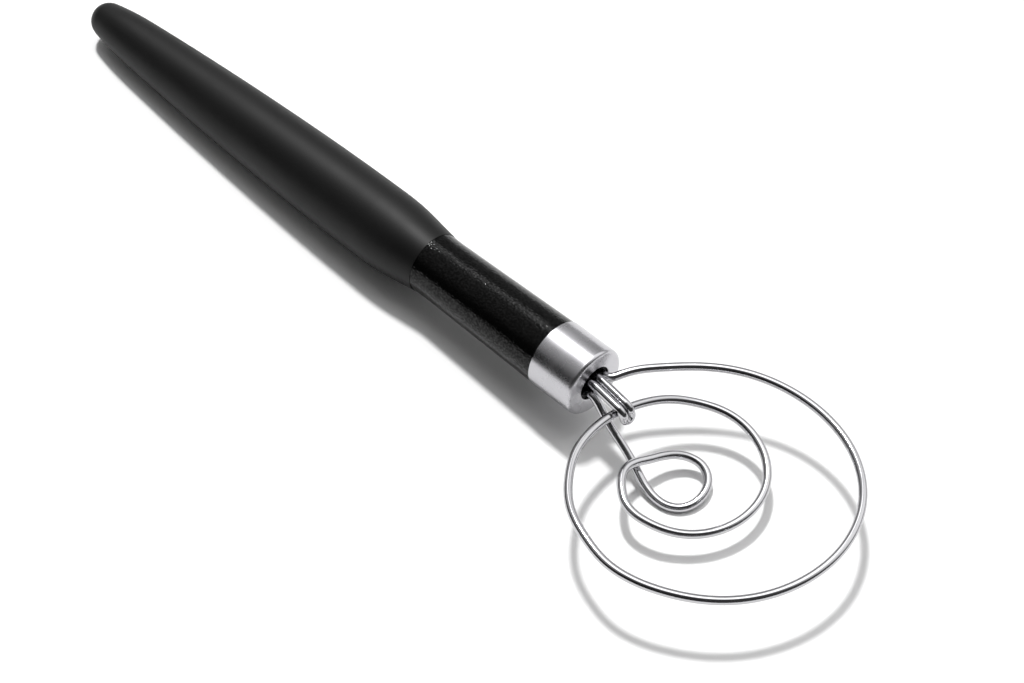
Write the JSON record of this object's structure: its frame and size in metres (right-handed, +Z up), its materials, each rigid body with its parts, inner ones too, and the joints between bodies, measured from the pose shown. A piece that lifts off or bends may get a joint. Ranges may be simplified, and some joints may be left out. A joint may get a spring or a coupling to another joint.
{
  "type": "dough whisk",
  "caption": "Long tapered grip with a metal ferrule and a spiral of bent round wire for mixing dough, its crossing held down by a wire hook.",
  "frame": {"origin": "centre of the footprint, on the surface it lies on", "axes": "+X towards the wire head, along the handle; +Z up, away from the surface it lies on"},
  "size_m": [0.3313, 0.0877, 0.0295],
  "materials": {
    "grip": "matt, soft to the touch",
    "lacquered_wood": "black gloss lacquer with the grain showing through",
    "ferrule": "satin",
    "wire": "polished",
    "resin": "matt"
  },
  "bodies": {
    "root": {"grip_sleeve": "grip", "handle_core": "lacquered_wood", "ferrule": "ferrule", "loop_wire": "wire", "hook_wire": "wire", "resin_plug": "resin"}
  },
  "joints": []
}
